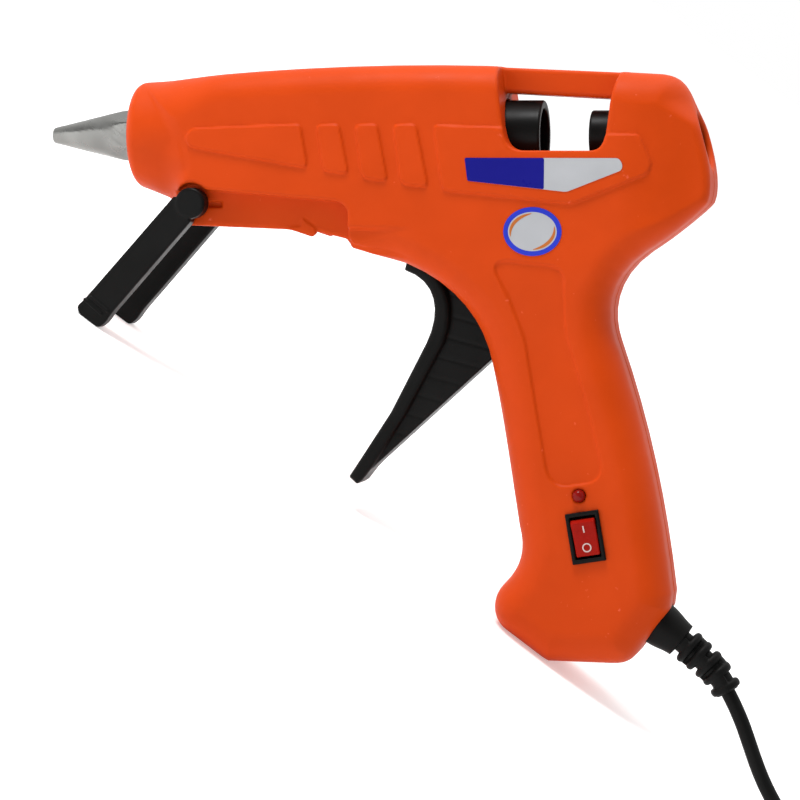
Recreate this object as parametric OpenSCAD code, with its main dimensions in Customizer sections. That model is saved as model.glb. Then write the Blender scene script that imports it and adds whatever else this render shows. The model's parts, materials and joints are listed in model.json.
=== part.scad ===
/* [Stance] */
// Nose-down lean of the gun when it stands on its legs and heel
tilt = 35.5; // [35:0.5:36]

/* [Nozzle and melt chamber] */
// Length of the nozzle from its tip to the face of the housing
nozzle_out = 27.2; // [26:0.1:28]
// Radius of the nozzle at its tip
tip_r = 2.3; // [2:0.1:2.6]
// Size of the nozzle hexagon across its flats
hex_af = 13.4; // [13:0.1:14]
// Radius of the outlet in the nozzle
orifice_r = 1; // [0.8:0.1:1.2]
// Outer radius of the melt chamber
chamber_r = 10; // [9.5:0.1:10]
// Radius of the glue path through chamber, sleeve and carriage
feed_r = 5.8; // [5.7:0.05:5.9]

/* [Housing] */
// Half width of the body
body_hw = 17; // [16.5:0.1:17.2]
// Half width of the grip
grip_hw = 15.5; // [15:0.1:15.8]
// Half width of the keel between the folded legs
keel_hw = 12.3; // [12:0.1:12.5]
// Thickness of the housing wall
wall = 2.2; // [2:0.1:2.4]
// Height of the raised ribs on the sides
rib_h = 0.8; // [0.5:0.1:0.9]
// Radius of the glue stick inlet in the rear guide
inlet_r = 6; // [5.9:0.05:6.1]

/* [Trigger and feed] */
// Half width of the finger rim of the trigger
trigger_hw = 6.2; // [6:0.1:6.4]
// Half width of the web behind the finger rim
trigger_web_hw = 4.4; // [4:0.1:4.6]
// Length of the drive arm from the trigger pin to the drive pin
arm_r = 20; // [19.5:0.1:20]
// Swing of the trigger from rest to full squeeze
trigger_swing = 22; // [20:1:22]
// Outer radius of the feed carriage
carriage_r = 10.5; // [10.3:0.1:10.6]

/* [Stand] */
// Radius of the boss at the top of each leg
boss_r = 4.6; // [4.4:0.1:4.7]
// Thickness of each leg
leg_t = 5.4; // [5:0.1:5.6]
// Radius of the axle through both legs
axle_r = 2.5; // [2.3:0.1:2.5]

/* [Switch] */
// Width of the switch bezel
switch_w = 10; // [9.6:0.1:10.2]
// Length of the switch bezel
switch_l = 15; // [14.6:0.1:15.4]
// Lean of the switch along the grip
switch_lean = 10; // [8:1:12]

/* [Mains lead] */
// Diameter of the mains lead
cord_d = 4.4; // [4.2:0.1:4.6]
// Radius of the folds at the middle of the hank
fold_r = 17; // [16.6:0.2:17.4]
// Straight run between the folds of the hank
hank_run = 34; // [32:1:38]

/* [Hidden] */
$fn = 48;

// The gun is drawn with X to the rear along the barrel, Z up and its tip at the origin,
// and then leaned nose-down onto the table.
stand_lift = 35.8;
stand_shift = -132.7;
function floor_z(x) = -(stand_lift + x * sin(tilt)) / cos(tilt);

// Points of a cubic curve, without its first point
function bez(a, b, c, d, n) = [for (i = [1 : n]) let (t = i / n, s = 1 - t)
    s * s * s * a + 3 * s * s * t * b + 3 * s * t * t * c + t * t * t * d];

nose_x = nozzle_out;
nose_r = 16;
nose_fillet = 3.2;
nut_x = 25;
cone_slope = 0.235;
chamber_x = 33.4;
heel_front = 142.5;
heel_back = 154;
axle_x = 48.5;
axle_z = -20.5;
trig_x = 121;
trig_z = -33;
half_swing = trigger_swing / 2;
drive_x = trig_x + arm_r * sin(half_swing);
drive_z = trig_z + arm_r * cos(half_swing);
carriage_x0 = 124;
carriage_x1 = 152.3;
jaw_x = 136.5;
jaw_z = 8.5;
switch_x = 168.2;
switch_z = -117;
led_x = 166;
led_z = -105;
rocker_y = 1.2;
gap = 0.3;
slot_r = 1.7;
clamp_screw_z = [-5.6, 5.6];

// Side outline of the housing at the parting plane
outline = concat(
    [[31, -16.4], [31, 15.6]],
    bez([31, 15.6], [60, 19], [100, 21.4], [137, 20.2], 6),
    [[188, 17.8]],
    bez([188, 17.8], [194, 17.4], [195.5, 10], [198, 4], 4),
    bez([198, 4], [200.6, -4], [203, -14], [201, -19], 4),
    bez([201, -19], [200, -21], [190, -29.5], [184, -33.5], 3),
    bez([184, -33.5], [172, -42], [172.5, -53], [175, -60], 5),
    bez([175, -60], [184, -85], [189, -108], [192.4, -134], 5),
    [[191.9, -138.4], [184.3, -149]],
    bez([184.3, -149], [181.5, -153.5], [180, -155], [175, -155], 3),
    [[156, -155], [heel_back, floor_z(heel_back)], [heel_front, floor_z(heel_front)]],
    bez([heel_front, floor_z(heel_front)], [138.6, -142], [139, -136], [142.5, -132.5], 3),
    bez([142.5, -132.5], [148, -127], [148.8, -121.5], [147, -115], 4),
    bez([147, -115], [144, -97], [142, -83], [138.5, -67.4], 3),
    bez([138.5, -67.4], [136, -55], [128, -44], [113, -38], 5),
    [[97, -33.4], [94.8, -30], [72, -27.8], [43, -27], [37, -18.5]]);

window = concat(
    [[141.5, 30], [141.5, 19], [142.8, 2]],
    bez([142.8, 2], [143.4, -3], [145, -4.7], [149, -4.7], 3),
    [[168.5, -4.7]],
    bez([168.5, -4.7], [171.8, -4.7], [172.6, -2], [173, 1], 3),
    [[174.1, 10], [175.8, 18], [177, 30]]);
bridge_bar = [[139, 20.1], [178, 18.3], [178, 10.4], [139, 12.6]];
leg_recess = [
    [50, -16.2], [93.8, -19.7], [96.4, -22], [96.4, -40], [30, -40], [36, -24], [41.5, -17]];
rim_slot = [
    [110, -50], [110, -33], [117, -25], [128, -25], [140, -32], [146, -50], [138, -62], [128, -62]];
web_slot = [
    [120, -60], [120, -28], [140, -30], [153, -48], [152, -64], [144, -80], [132, -84]];
thumb_panel = [
    [140.8, -38.9], [145.2, -47], [150, -58.9], [153.2, -77.2], [157.2, -99.5], [160.4, -102],
    [170.3, -100.4], [172.2, -97.2], [167, -77], [160.9, -57.3], [160.4, -40.2], [157.8, -38.8],
    [143, -37.2]];
side_ribs = [
    [[46.7, -1], [48.7, 1.5], [82.1, 2.8], [84.2, -9], [83.2, -9.8], [48.1, -3.7]],
    [[87.2, 2.6], [93.8, 2.8], [96.6, -10.7], [95.8, -11.6], [90.1, -10.9], [89.1, -10]],
    [[98.8, 2.6], [105.3, 2.8], [108.4, -12.8], [107.6, -13.7], [102, -12.9], [100.8, -11.7]],
    [[110.4, 2.6], [117, 2.8], [120.6, -14.5], [119.8, -15.3], [113.8, -14.6], [112.6, -13.7]]];
label_panel = [
    [122.4, 2.5], [144, 1.8], [147, -4.6], [170, -4.6], [173, 0], [182.6, -0.2], [186.2, -8.5],
    [184.9, -11.3], [166, -19], [162.8, -19.9], [125.2, -16.3]];
label_outline = [
    [131.7, -6.9], [176.9, -6.9], [178.1, -8.7], [177.8, -10.4], [161.8, -16.7], [132.6, -13.6]];

// Screw columns: place along the gun, height, and depth of the seat under the head
screw_seats = [[72, -22.5, 9], [112, 14.6, 11], [184, 11.6, 11], [182, -24, 12],
    [167, -86, 11], [151, -139.5, 11]];
screw_r = 1.45;
column_r = 3.2;

// Cord: it leaves the strain relief, lands on the table and runs into a tied hank
relief = [[188.1, -143.7], [194.8, -148.6], [202.4, -155], [206.2, -159.2], [208.5, -163.2]];
relief_turn = [36, 37, 44, 52, 62];
cord_r = cord_d / 2;
hank_x = 204.4;
hank_layers = 4;
hank_h = hank_layers * cord_d;
tie_t = 0.8;
tie_w = 8;
plug_x = 318.4;
plug_z = 7;
boot_x = plug_x - 26;
boot_l = 14.5;
lead_in = [
    [131.9, 0, 24], [136, 0, 21.9], [140.4, 0, 19.3], [145.4, 0, 15.9], [151, 0, 12],
    [157, -0.3, 8.4], [164, -2, 5.4], [171, -5.4, 3.7], [178, -9.9, 3.1], [185, -14.3, 3],
    [192, -17.6, 3], [199, -19.1, 3], [206, -19.2, 3]];
tail = [
    [238, -14.8, 16.2], [244, -15.3, 16.7], [250, -15.4, 17], [256, -14, 16], [262, -11.3, 14.2],
    [268, -7.9, 11.8], [274, -4.7, 9.6], [280, -2.1, 8], [286, -0.5, 7.2],
    [boot_x, 0, plug_z]];

module lean() translate([stand_shift, 0, stand_lift]) rotate([0, -tilt, 0]) children();
// Extrudes an outline drawn on the side of the gun from y0 to y1
module side(points, y0, y1) translate([0, y1, 0]) rotate([90, 0, 0])
    linear_extrude(y1 - y0) polygon(points);
module side_inset(points, inset, y0, y1) translate([0, y1, 0]) rotate([90, 0, 0])
    linear_extrude(y1 - y0) offset(delta = -inset) polygon(points);
// A rod or bore across the gun
module across(x, z, r, y0, y1) translate([x, y0, z]) rotate([-90, 0, 0])
    cylinder(r = r, h = y1 - y0);
// A rod, cone or bore along the barrel
module along(x0, x1, r0, r1, z = 0) translate([x0, 0, z]) rotate([0, 90, 0])
    cylinder(r1 = r0, r2 = r1, h = x1 - x0);
// Left half to right half
module mirrored() mirror([0, 1, 0]) children();
module tube_section(x0, x1, r_out, r_in) difference() {
    along(x0, x1, r_out, r_out);
    along(x0 - 1, x1 + 1, r_in, r_in);
}

// Round nose of the body, turned about the barrel
module nose(r_back, r_front, x0, x1, fillet) rotate([0, 90, 0]) rotate_extrude()
    polygon(concat([[0, x0]],
        [for (a = [0 : 18 : 90]) [r_front - fillet + fillet * sin(a), x0 + fillet * (1 - cos(a))]],
        [[r_back, x1], [0, x1]]));

// Left half of the solid shape, from the parting plane to the side
module half_solid() {
    side(outline, -9, 0);
    side_inset(outline, 1.6, -13, 0);
    side_inset(outline, 5, -grip_hw, 0);
    intersection() {
        side_inset(outline, 6.5, -body_hw, 0);
        translate([20, -20, -34]) cube([185, 20, 60]);
    }
    intersection() {
        nose(17.2, nose_r, nose_x, 52, nose_fillet);
        translate([20, -20, -20]) cube([40, 20, 40]);
    }
}
module half_cavity() {
    difference() {
        union() {
            side_inset(outline, wall, -9, 1);
            side_inset(outline, wall + 3, -13, 1);
            intersection() {
                side_inset(outline, wall + 6, -(body_hw - wall), 1);
                translate([20, -20, -34]) cube([185, 21, 60]);
            }
        }
        translate([33, -20, -26]) cube([2, 22, 50]);
        translate([92, -20, -11.5]) cube([2, 22, 36]);
        translate([178, -20, -30]) cube([2, 22, 50]);
        side_inset(leg_recess, -wall, -20, -keel_hw + wall);
        across(axle_x, axle_z, 8, -20, -keel_hw + wall);
        for (z = [-3.2, 1.8]) translate([106, -20, z]) cube([33, 8.6, 1.4]);
        for (s = screw_seats) across(s[0], s[1], column_r, -20, 0);
        across(axle_x, axle_z, 4.4, -20, 1);
        across(trig_x, trig_z, 4.6, -20, -10.6);
    }
    along(nose_x + 2, 33, nose_r - 2.6, nose_r - 2.6);
    along(35, 46, nose_r - 2.6, nose_r - 2.6);
}
module half_housing() {
    difference() {
        union() {
            difference() {
                half_solid();
                half_cavity();
                side(window, -20, 1);
                side(leg_recess, -20, -keel_hw);
                across(axle_x, axle_z, 6, -20, -keel_hw);
                side(thumb_panel, -20, -grip_hw + 0.7);
            }
            side(bridge_bar, -5, 0);
            for (p = concat(side_ribs, [label_panel])) side(p, -body_hw - rib_h, -body_hw + 1);
            translate([82, -keel_hw - 0.3, -30]) cube([3, 1, 4.5]);
        }
        along(nose_x - 5, nose_x + 6, 8.2, 8.2);
        along(90, 140, carriage_r + 0.4, carriage_r + 0.4);
        along(30, 96, chamber_r + 0.1, chamber_r + 0.1);
        along(176, 193, 7.55, 7.55);
        along(192, 206, 7.5, 8.2);
        across(axle_x, axle_z, axle_r + 0.05, -20, 1);
        across(trig_x, trig_z, 2.05, -body_hw + 2.5, 1);
        side(rim_slot, -trigger_hw - gap, 1);
        side(web_slot, -trigger_web_hw - gap, 1);
    }
}

module housing_left() color([0.88, 0.29, 0.09]) lean() difference() {
    union() {
        half_housing();
        cord_frame() translate([-16, -14, -8]) cube([6, 14 - cord_r, 16]);
    }
    cord_frame() for (z = clamp_screw_z) translate([-13, -8, z]) rotate([-90, 0, 0])
        cylinder(r = 1, h = 8);
    for (s = screw_seats) across(s[0], s[1], screw_r - 0.2, -s[2] + 1, 1);
    translate([switch_x, -grip_hw - 3, switch_z]) rotate([0, -switch_lean, 0])
        translate([-4.4, 0, -6.7]) cube([8.8, 8, 13.4]);
    across(led_x, led_z, 1.95, -20, -8);
    relief_socket();
}
module housing_right() color([0.88, 0.29, 0.09]) lean() mirrored() difference() {
    half_housing();
    for (s = screw_seats) {
        across(s[0], s[1], screw_r + 0.25, -20, 1);
        across(s[0], s[1], 2.9, -20, -s[2]);
    }
    relief_socket();
}
module housing_screws() color("dimgray") lean() for (s = screw_seats) {
    across(s[0], s[1], screw_r, -s[2] + 2, s[2]);
    difference() {
        across(s[0], s[1], 2.6, s[2], s[2] + 2);
        translate([s[0] - 1.8, s[2] + 1, s[1] - 0.3]) cube([3.6, 2, 0.6]);
        translate([s[0] - 0.3, s[2] + 1, s[1] - 1.8]) cube([0.6, 2, 3.6]);
    }
}

module nozzle() color("silver") lean() difference() {
    union() {
        intersection() {
            along(0, nut_x, tip_r, tip_r + nut_x * cone_slope);
            rotate([0, 90, 0]) cylinder(d = hex_af / cos(30), h = nut_x, $fn = 6);
        }
        translate([nut_x - 0.1, 0, 0]) rotate([0, 90, 0])
            cylinder(d = hex_af / cos(30), h = chamber_x - nut_x + 0.1, $fn = 6);
        along(chamber_x - 1, 38, 5, 5);
    }
    along(-1, 14, orifice_r, orifice_r);
    along(13.9, 39, orifice_r, 3.4);
}
module melt_chamber() color("gray") lean() difference() {
    union() {
        along(chamber_x, 98, chamber_r - 0.4, chamber_r - 0.4);
        along(chamber_x, 35.6, chamber_r, chamber_r);
        along(91.6, 94.4, chamber_r, chamber_r);
        along(98, 104, 7.4, 7.4);
        translate([50, -9, -12]) cube([38, 18, 5]);
    }
    along(33, 38.2, 5.05, 5.05);
    along(38, 52, 3.4, feed_r);
    along(51.9, 105, feed_r, feed_r);
}
module front_insulator() color("ivory") lean() tube_section(29.4, 32.8, 12.6, 8.4);
module heater_plates() color("lightgray") lean() for (z = [-13.1, -15.6])
    translate([52, -8, z]) cube([34, 16, 0.9]);
module heater_insulation() color("goldenrod") lean() difference() {
    translate([51, -8.6, -16.2]) cube([36, 17.2, 4.1]);
    for (z = [-13.15, -15.65]) translate([51.9, -8.1, z]) cube([34.2, 16.2, 1]);
}
module heater_clip() color("lightsteelblue") lean() difference() {
    translate([60, -10.05, -16.8]) cube([16, 20.1, 16.8]);
    translate([59, -9.65, -16.3]) cube([18, 19.3, 18]);
}
module thermal_fuse() color("white") lean() along(53.8, 59.8, 1.6, 1.6, -18);
module inlet_sleeve() color([0.75, 0.25, 0.15]) lean() difference() {
    along(98.4, 113, 9.4, 8);
    along(98, 104.05, 7.42, 7.42);
    along(104, 114, feed_r, feed_r);
}
module sleeve_clamp() color("silver") lean() {
    tube_section(100, 103.4, 10.1, 9.45);
    for (y = [-2.6, 1]) translate([100, y, 9.5]) cube([3.4, 1.6, 4]);
}

module feed_carriage() color([0.12, 0.12, 0.12]) lean() difference() {
    union() {
        along(carriage_x0, carriage_x1, carriage_r, carriage_r);
        translate([carriage_x0 + 4, -13, -1.4]) cube([12, 26, 2.8]);
        for (y = [-8, 4.2]) translate([drive_x - 4, y, drive_z - 3.6]) cube([8, 3.8, 10]);
    }
    along(carriage_x0 - 1, carriage_x1 + 1, 8, 8);
    for (z = [-0.1, 0.5]) across(drive_x, drive_z + z, slot_r, -9, 9);
    translate([drive_x - slot_r, -9, drive_z - 0.1]) cube([2 * slot_r, 18, 0.6]);
    translate([jaw_x - 9, -2.2, 6]) cube([13, 4.4, 10]);
    across(jaw_x, jaw_z, 1.05, -7, 7);
}
module gripper_jaw() color("silver") lean() difference() {
    union() {
        across(jaw_x, jaw_z, 2.3, -1.6, 1.6);
        side([[jaw_x - 8, 10.6], [jaw_x + 1, 10.7], [jaw_x, 6.4], [jaw_x - 3.4, 5.7],
            [jaw_x - 4.4, 6.7], [jaw_x - 5.4, 5.7], [jaw_x - 6.4, 6.7]], -1.6, 1.6);
    }
    across(jaw_x, jaw_z, 1.05, -3, 3);
}
module gripper_pin() color("silver") lean() across(jaw_x, jaw_z, 1, -5.6, 5.6);
module drive_pin() color("silver") lean() across(drive_x, drive_z, 1.5, -7.8, 7.8);

trigger_outline = concat(
    [[111.8, -37.4], [111.2, -40]],
    bez([111.2, -40], [121, -43], [122.5, -52], [118, -61.5], 6),
    [[107.3, -82.4], [94.6, -102], [97, -104.2], [98.6, -103.2], [101.7, -99.2]]);
trigger_web = concat([[117, -41.5], [123, -50], [119.6, -61], [108.8, -83], [99.5, -98]],
    [[101.7, -99.2], [138.6, -65.3]],
    bez([138.6, -65.3], [141, -57], [136, -42], [125, -34], 4));
module trigger() color([0.12, 0.12, 0.12]) lean() difference() {
    union() {
        side(concat(trigger_outline, [[112, -83], [123.5, -61.5]],
            bez([123.5, -61.5], [128, -50], [124, -40], [113.5, -36.6], 5)),
            -trigger_hw, trigger_hw);
        side(trigger_web, -trigger_web_hw, trigger_web_hw);
        across(trig_x, trig_z, 5, -trigger_web_hw, trigger_web_hw);
        side([[trig_x - 3, trig_z], [drive_x - 3, drive_z], [drive_x - 1.5, drive_z + 2.1],
            [drive_x + 1.5, drive_z + 2.1], [drive_x + 3, drive_z], [trig_x + 4.5, trig_z]], -3, 3);
    }
    across(trig_x, trig_z, 2.05, -8, 8);
    across(drive_x, drive_z, 1.45, -8, 8);
}
module trigger_pin() color("silver") lean() across(trig_x, trig_z, 2, -13.5, 13.5);
spring_r = 3.4;
spring_turns = 3;
spring_y = 5;
spring_path = concat(
    [[trig_x + spring_r, spring_y, trig_z - 6], [trig_x + spring_r, spring_y, trig_z - 3]],
    [for (a = [0 : 30 : 360 * spring_turns]) [trig_x + spring_r * cos(a), spring_y + a / 360,
        trig_z + spring_r * sin(a)]],
    [for (z = [4, 9]) [trig_x + spring_r, spring_y + spring_turns, trig_z + z]]);
module trigger_spring() color("silver") lean() swept(spring_path, 0.4, 8);

module rear_guide() color([0.12, 0.12, 0.12]) lean() difference() {
    union() {
        along(166.4, 191.8, 7.5, 7.5);
        along(180.2, 182, 8.2, 8.2);
    }
    along(166, 192, inlet_r, inlet_r);
}
module rating_label() color([0.75, 0.76, 0.78]) lean()
    side(label_outline, -body_hw - rib_h - 0.2, -body_hw - rib_h);
module inspection_sticker() color([0.2, 0.25, 0.7]) lean()
    translate([151.8, -body_hw, -28.2]) rotate([90, 0, 0]) linear_extrude(0.2) scale([1.2, 1])
        circle(r = 7, $fn = 48);

module switch_frame() translate([switch_x, -grip_hw, switch_z]) rotate([0, -switch_lean, 0])
    children();
module switch_body() color([0.1, 0.1, 0.1]) lean() switch_frame() difference() {
    union() {
        translate([-switch_w / 2, -1.2, -switch_l / 2]) cube([switch_w, 1.2, switch_l]);
        translate([-4.3, 0, -6.6]) cube([8.6, 10.5, 13.2]);
    }
    translate([-3.8, -2, -6.2]) cube([7.6, 8, 12.4]);
    translate([0, rocker_y, 0]) rotate([0, 90, 0]) cylinder(r = 0.85, h = 8.2, center = true);
}
module switch_rocker() color([0.8, 0.1, 0.08]) lean() switch_frame() {
    translate([-3.6, 0, 0]) rotate([90, 0, 90]) linear_extrude(7.2)
        polygon([[-1, -5.2], [-1, 0], [-2.6, 5.2], [1.2, 5.2], [2.6, 0], [2.6, -5.2]]);
    translate([0, rocker_y, 0]) rotate([0, 90, 0]) cylinder(r = 0.8, h = 8, center = true);
}
module switch_terminals() color("goldenrod") lean() switch_frame() for (z = [-4, 3.2])
    translate([-2.4, 10.5, z]) cube([4.8, 6, 0.8]);
module indicator_led() color([0.7, 0.05, 0.05]) lean() {
    across(led_x, led_z, 1.9, -15.8, -9);
    translate([led_x, -15.8, led_z]) intersection() {
        sphere(r = 1.9);
        translate([-3, -3, -3]) cube([6, 3, 6]);
    }
}
module led_board() color("seagreen") lean() translate([led_x - 5, -8.9, led_z - 1.5])
    cube([10, 1.2, 8]);
module led_resistor() color("tan") lean() translate([led_x - 3.2, -6.1, led_z + 3.6])
    rotate([0, 90, 0]) cylinder(r = 1.4, h = 6.4);

// Points of a ring of a swept tube: centre, direction and radius
function dir(p, i) = let (a = p[max(i - 1, 0)], b = p[min(i + 1, len(p) - 1)]) (b - a) / norm(b - a);
function ring(c, d, r, n) = let (s = cross(d, abs(d[1]) > 0.9 ? [1, 0, 0] : [0, 1, 0]),
    u = s / norm(s), v = cross(d, u)) [for (k = [0 : n - 1]) c + r * (u * cos(360 * k / n)
    + v * sin(360 * k / n))];
module swept(path, r, n) {
    rings = len(path);
    points = [for (i = [0 : rings - 1]) each ring(path[i], dir(path, i), r, n)];
    faces = concat(
        [[for (k = [0 : n - 1]) k]],
        [for (i = [0 : rings - 2]) for (k = [0 : n - 1])
            [i * n + k, (i + 1) * n + k, (i + 1) * n + (k + 1) % n, i * n + (k + 1) % n]],
        [[for (k = [n - 1 : -1 : 0]) (rings - 1) * n + k]]);
    polyhedron(points, faces);
}

live_route = [
    [87.4, 6, -13.6], [90, 7.6, -13.8], [96, 11.6, -14.8], [103, 12.6, -17.5], [118, 12.8, -21],
    [138, 12.6, -25], [149, 11.6, -36], [154.6, 10.6, -52], [158.4, 10, -72], [161, 9, -94],
    [165, 7, -107], [168.4, 4, -112.6], [168.6, 1.1, -113.2]];
neutral_route = [
    [87.6, 3, -15.2], [90.5, 5.4, -15.6], [98, 9, -18.5], [104, 10.4, -22], [118, 11.2, -25.4],
    [136, 12, -27.5], [146, 11.2, -38], [151, 10.4, -54], [155, 10, -74], [158, 9.4, -96],
    [160.4, 9, -116], [165.4, 6.4, -127.4], [172.6, 1.4, -133]];
switch_route = [
    [168.9, 1.1, -120.6], [169, 3, -121.2], [170, 3.4, -123.8], [171.4, 1, -128],
    [172.9, -1.3, -132.4]];
module heater_lead_live() color("firebrick") lean() swept(live_route, 1, 8);
module heater_lead_neutral() color("white") lean() swept(neutral_route, 1, 8);
module switch_lead() color("firebrick") lean() swept(switch_route, 0.9, 8);

module cord_frame() translate([relief[0][0], 0, relief[0][1]]) rotate([0, relief_turn[0], 0])
    children();
module relief_socket() {
    cord_frame() rotate([0, 90, 0]) translate([0, 0, -4]) cylinder(r = 6.8, h = 10);
    cord_frame() rotate([0, 90, 0]) translate([0, 0, -7]) cylinder(r = 8.3, h = 7 - wall);
}
module strain_relief() color([0.12, 0.12, 0.12]) lean() {
    cord_frame() rotate([0, 90, 0]) {
        translate([0, 0, -5]) cylinder(r = 8, h = 2.7);
        translate([0, 0, -4.2]) cylinder(r = 6.7, h = 4.2);
        cylinder(r1 = 6.7, r2 = 5.4, h = 8.3);
        translate([0, 0, 8.2]) cylinder(r = 3.6, h = 4);
    }
    for (i = [1 : 3]) translate([relief[i][0], 0, relief[i][1]]) rotate([0, relief_turn[i] + 90, 0]) {
        translate([0, 0, i == 1 ? 2 : -2.4]) cylinder(r = 3.6, h = 6.4);
        translate([0, 0, i == 1 ? 2.4 : -1.1]) cylinder(r = 5.3 - 0.15 * i, h = 2.2);
    }
    translate([relief[4][0], 0, relief[4][1]]) rotate([0, relief_turn[4] + 90, 0])
        translate([0, 0, -2.6]) cylinder(r = 4.8, h = 2.6);
}
module inner_cord() color([0.15, 0.15, 0.15]) lean() cord_frame() rotate([0, 90, 0])
    translate([0, 0, -18]) cylinder(r = cord_r, h = 13);
module cord_clamp() color([0.15, 0.15, 0.15]) lean() cord_frame() difference() {
    translate([-16, 1.4, -8]) cube([6, 3.6, 16]);
    translate([-17, 0, 0]) rotate([0, 90, 0]) cylinder(r = cord_r, h = 8);
    for (z = clamp_screw_z) translate([-13, 0, z]) rotate([-90, 0, 0]) cylinder(r = 1.3, h = 6);
}
module clamp_screws() color("dimgray") lean() cord_frame() for (z = clamp_screw_z)
    translate([-13, 0, z]) rotate([-90, 0, 0]) {
        translate([0, 0, -7]) cylinder(r = 1.2, h = 12.1);
        translate([0, 0, 5]) cylinder(r = 2.3, h = 1.6);
    }

// Leg outline while it stands, with its foot flat on the table
leg_outline = [
    [45.1, -17.4], [22.5, -42.2], [15.8, -49.2], [13.2, -51.6], [13.8, floor_z(13.8)],
    [19.8, floor_z(19.8)], [22, -56.6], [25.5, -53], [51.9, -23.5]];
module stand_leg() difference() {
    union() {
        side(leg_outline, -18.2, -18.2 + leg_t);
        across(axle_x, axle_z, boss_r, -18.2, -18.2 + leg_t);
    }
    across(axle_x, axle_z, axle_r, -16.8, -10);
}
module stand_leg_left() color([0.12, 0.12, 0.12]) lean() stand_leg();
module stand_leg_right() color([0.12, 0.12, 0.12]) lean() mirrored() stand_leg();
module stand_axle() color([0.2, 0.2, 0.2]) lean() across(axle_x, axle_z, axle_r, -16.8, 16.8);

module power_cord() color([0.12, 0.12, 0.12]) swept(lead_in, cord_r, 8);
// Oblong block with round ends, as wide as two radii
module oblong(r, z, h) translate([hank_x, 0, z]) {
    for (x = [0, hank_run]) translate([x, 0, 0]) cylinder(r = r, h = h);
    translate([0, -r, 0]) cube([hank_run, 2 * r, h]);
}
module cord_hank() color([0.12, 0.12, 0.12]) difference() {
    oblong(fold_r + cord_d, tie_t, hank_h);
    oblong(fold_r - cord_d, tie_t - 1, hank_h + 2);
}
module cord_tie() color([0.3, 0.3, 0.3]) translate([hank_x + (hank_run - tie_w) / 2, 0, 0])
    difference() {
        translate([0, -fold_r - cord_d - tie_t, 0])
            cube([tie_w, 2 * (fold_r + cord_d + tie_t), hank_h + 2 * tie_t]);
        translate([-1, -fold_r - cord_d, tie_t]) cube([tie_w + 2, 2 * (fold_r + cord_d), hank_h]);
    }
module cord_tail() color([0.12, 0.12, 0.12]) swept(tail, cord_r, 8);
module plug_body() color([0.12, 0.12, 0.12]) {
    translate([boot_x, 0, plug_z]) rotate([0, 90, 0]) cylinder(r1 = 3.6, r2 = 5.2, h = boot_l);
    hull() for (y = [-9.6, 9.6]) translate([plug_x - 12, y, plug_z]) rotate([0, 90, 0])
        cylinder(r = 6.8, h = 22, $fn = 32);
}
module plug_pins() color("silver") translate([plug_x + 10, 0, plug_z]) for (y = [-9.3, 9.3])
    translate([0, y, 0]) rotate([0, 90, 0]) cylinder(r = 2, h = 19);

nozzle();
melt_chamber();
front_insulator();
heater_plates();
heater_insulation();
heater_clip();
thermal_fuse();
inlet_sleeve();
sleeve_clamp();
feed_carriage();
gripper_jaw();
gripper_pin();
drive_pin();
trigger();
trigger_pin();
trigger_spring();
rear_guide();
housing_left();
housing_right();
housing_screws();
rating_label();
inspection_sticker();
switch_body();
switch_rocker();
switch_terminals();
indicator_led();
led_board();
led_resistor();
heater_lead_live();
heater_lead_neutral();
switch_lead();
cord_clamp();
clamp_screws();
inner_cord();
strain_relief();
stand_leg_left();
stand_leg_right();
stand_axle();
power_cord();
cord_hank();
cord_tie();
cord_tail();
plug_body();
plug_pins();
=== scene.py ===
"""Hot glue gun standing on its fold-out legs, its mains lead folded and tied behind it."""
import json
import math

import bmesh
import bpy
import numpy as np
import openvdb
from mathutils import Matrix, Vector

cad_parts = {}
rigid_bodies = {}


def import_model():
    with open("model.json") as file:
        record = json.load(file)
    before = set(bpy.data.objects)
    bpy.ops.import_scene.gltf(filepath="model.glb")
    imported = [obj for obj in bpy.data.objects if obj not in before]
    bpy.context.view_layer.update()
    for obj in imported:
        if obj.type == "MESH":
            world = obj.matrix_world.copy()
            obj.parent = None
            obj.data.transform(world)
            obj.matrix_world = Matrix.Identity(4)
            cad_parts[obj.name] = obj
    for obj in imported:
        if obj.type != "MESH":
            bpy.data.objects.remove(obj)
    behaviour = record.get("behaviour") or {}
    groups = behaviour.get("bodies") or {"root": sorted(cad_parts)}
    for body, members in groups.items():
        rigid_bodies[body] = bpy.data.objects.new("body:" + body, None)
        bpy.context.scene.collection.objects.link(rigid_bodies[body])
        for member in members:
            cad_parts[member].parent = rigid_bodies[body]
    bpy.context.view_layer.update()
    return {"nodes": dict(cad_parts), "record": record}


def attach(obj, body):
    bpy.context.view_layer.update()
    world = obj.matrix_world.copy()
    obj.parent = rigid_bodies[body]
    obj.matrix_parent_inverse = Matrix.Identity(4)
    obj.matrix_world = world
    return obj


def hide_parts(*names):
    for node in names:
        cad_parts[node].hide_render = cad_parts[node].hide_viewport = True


for leftover in list(bpy.data.objects):
    bpy.data.objects.remove(leftover)
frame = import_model()

# The gun frame is in millimetres: u to the rear along the barrel, y to the right, v upward,
# from the nozzle's tip. The row frame is that, leaned nose-down onto the table, in metres.
MM = 0.001
LEAN = math.radians(35.5)
LIFT, SHIFT = 35.8, -132.7
TILT = np.array([[math.cos(LEAN), 0, -math.sin(LEAN)], [0, 1, 0],
                 [math.sin(LEAN), 0, math.cos(LEAN)]])


def to_row(points):
    """Points of the gun frame, in the row frame."""
    return (np.asarray(points, float).reshape(-1, 3) @ TILT.T + [SHIFT, 0, LIFT]) * MM


def to_gun(points):
    """Points of the row frame, in the gun frame."""
    return (np.asarray(points, float).reshape(-1, 3) / MM - [SHIFT, 0, LIFT]) @ TILT


def linked(name, data):
    """A new object in the scene."""
    thing = bpy.data.objects.new(name, data)
    bpy.context.collection.objects.link(thing)
    return thing


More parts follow.
